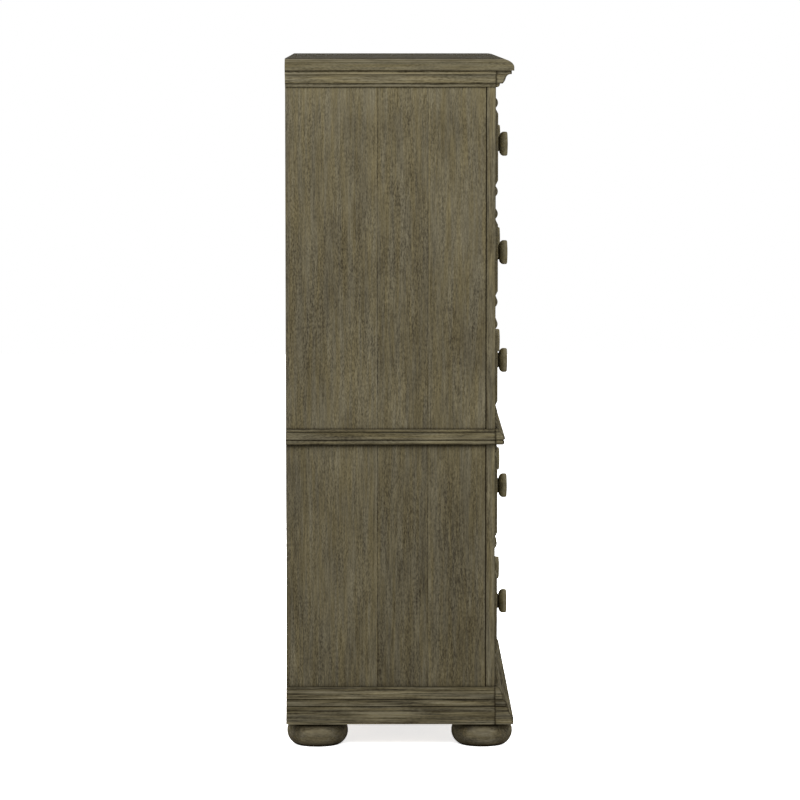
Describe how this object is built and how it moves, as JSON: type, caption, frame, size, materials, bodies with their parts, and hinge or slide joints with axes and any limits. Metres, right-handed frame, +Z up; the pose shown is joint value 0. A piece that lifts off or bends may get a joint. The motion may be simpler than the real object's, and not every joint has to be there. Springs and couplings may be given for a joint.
{
  "type": "chest of drawers",
  "caption": "Tall chest of full-width drawers with moulded top, cornice, waist and base mouldings, turned bun feet and round wooden knobs; the drawers slide out to the front.",
  "frame": {"origin": "on the floor under the middle of the chest", "axes": "+Z up; the drawers open towards -Y; +X is the right-hand side seen from the front"},
  "size_m": [1.0166, 0.4598, 1.3925],
  "materials": {
    "top_wood": "brushed stained wood, darker glaze",
    "case_wood": "weathered stained oak veneer, matt",
    "frame_wood": "stained solid wood, matt",
    "moulding_wood": "stained moulded wood, dark glaze in the recesses",
    "front_wood": "stained drawer front, matt",
    "knob_wood": "turned stained wood, satin",
    "foot_wood": "turned stained wood, matt",
    "box_wood": "clear lacquered pale solid wood",
    "sheet_ply": "plywood, unfinished",
    "zinc_steel": "zinc plated"
  },
  "bodies": {
    "case": {"top_panel": "top_wood", "cornice_front": "moulding_wood", "cornice_left": "moulding_wood", "cornice_right": "moulding_wood", "waist_front": "moulding_wood", "waist_left": "moulding_wood", "waist_right": "moulding_wood", "base_front": "moulding_wood", "base_left": "moulding_wood", "base_right": "moulding_wood", "side_panel_left": "case_wood", "side_panel_right": "case_wood", "stile_left": "frame_wood", "stile_right": "frame_wood", "top_rail": "frame_wood", "rail_below_drawer_1": "frame_wood", "rail_below_drawer_2": "frame_wood", "waist_rail": "frame_wood", "rail_below_drawer_4": "frame_wood", "bottom_rail": "frame_wood", "back_sheet": "sheet_ply", "bottom_board": "sheet_ply", "drawer_runners": "box_wood", "top_cleats": "box_wood", "corner_blocks": "box_wood", "foot_front_left": "foot_wood", "foot_front_right": "foot_wood", "foot_back_left": "foot_wood", "foot_back_right": "foot_wood", "foot_bolts": "zinc_steel"},
    "drawer_1": {"drawer_1_front": "front_wood", "drawer_1_sides": "box_wood", "drawer_1_back": "box_wood", "drawer_1_bottom": "sheet_ply", "drawer_1_knobs": "knob_wood", "drawer_1_screws": "zinc_steel"},
    "drawer_2": {"drawer_2_front": "front_wood", "drawer_2_sides": "box_wood", "drawer_2_back": "box_wood", "drawer_2_bottom": "sheet_ply", "drawer_2_knobs": "knob_wood", "drawer_2_screws": "zinc_steel"},
    "drawer_3": {"drawer_3_front": "front_wood", "drawer_3_sides": "box_wood", "drawer_3_back": "box_wood", "drawer_3_bottom": "sheet_ply", "drawer_3_knobs": "knob_wood", "drawer_3_screws": "zinc_steel"},
    "drawer_4": {"drawer_4_front": "front_wood", "drawer_4_sides": "box_wood", "drawer_4_back": "box_wood", "drawer_4_bottom": "sheet_ply", "drawer_4_knobs": "knob_wood", "drawer_4_screws": "zinc_steel"},
    "drawer_5": {"drawer_5_front": "front_wood", "drawer_5_sides": "box_wood", "drawer_5_back": "box_wood", "drawer_5_bottom": "sheet_ply", "drawer_5_knobs": "knob_wood", "drawer_5_screws": "zinc_steel"}
  },
  "joints": [
    {"name": "drawer_1_slide", "type": "slide", "parent": "case", "child": "drawer_1", "axis": [0, -1, 0], "range_m": [0, 0.28]},
    {"name": "drawer_2_slide", "type": "slide", "parent": "case", "child": "drawer_2", "axis": [0, -1, 0], "range_m": [0, 0.28]},
    {"name": "drawer_3_slide", "type": "slide", "parent": "case", "child": "drawer_3", "axis": [0, -1, 0], "range_m": [0, 0.28]},
    {"name": "drawer_4_slide", "type": "slide", "parent": "case", "child": "drawer_4", "axis": [0, -1, 0], "range_m": [0, 0.28]},
    {"name": "drawer_5_slide", "type": "slide", "parent": "case", "child": "drawer_5", "axis": [0, -1, 0], "range_m": [0, 0.28]}
  ]
}
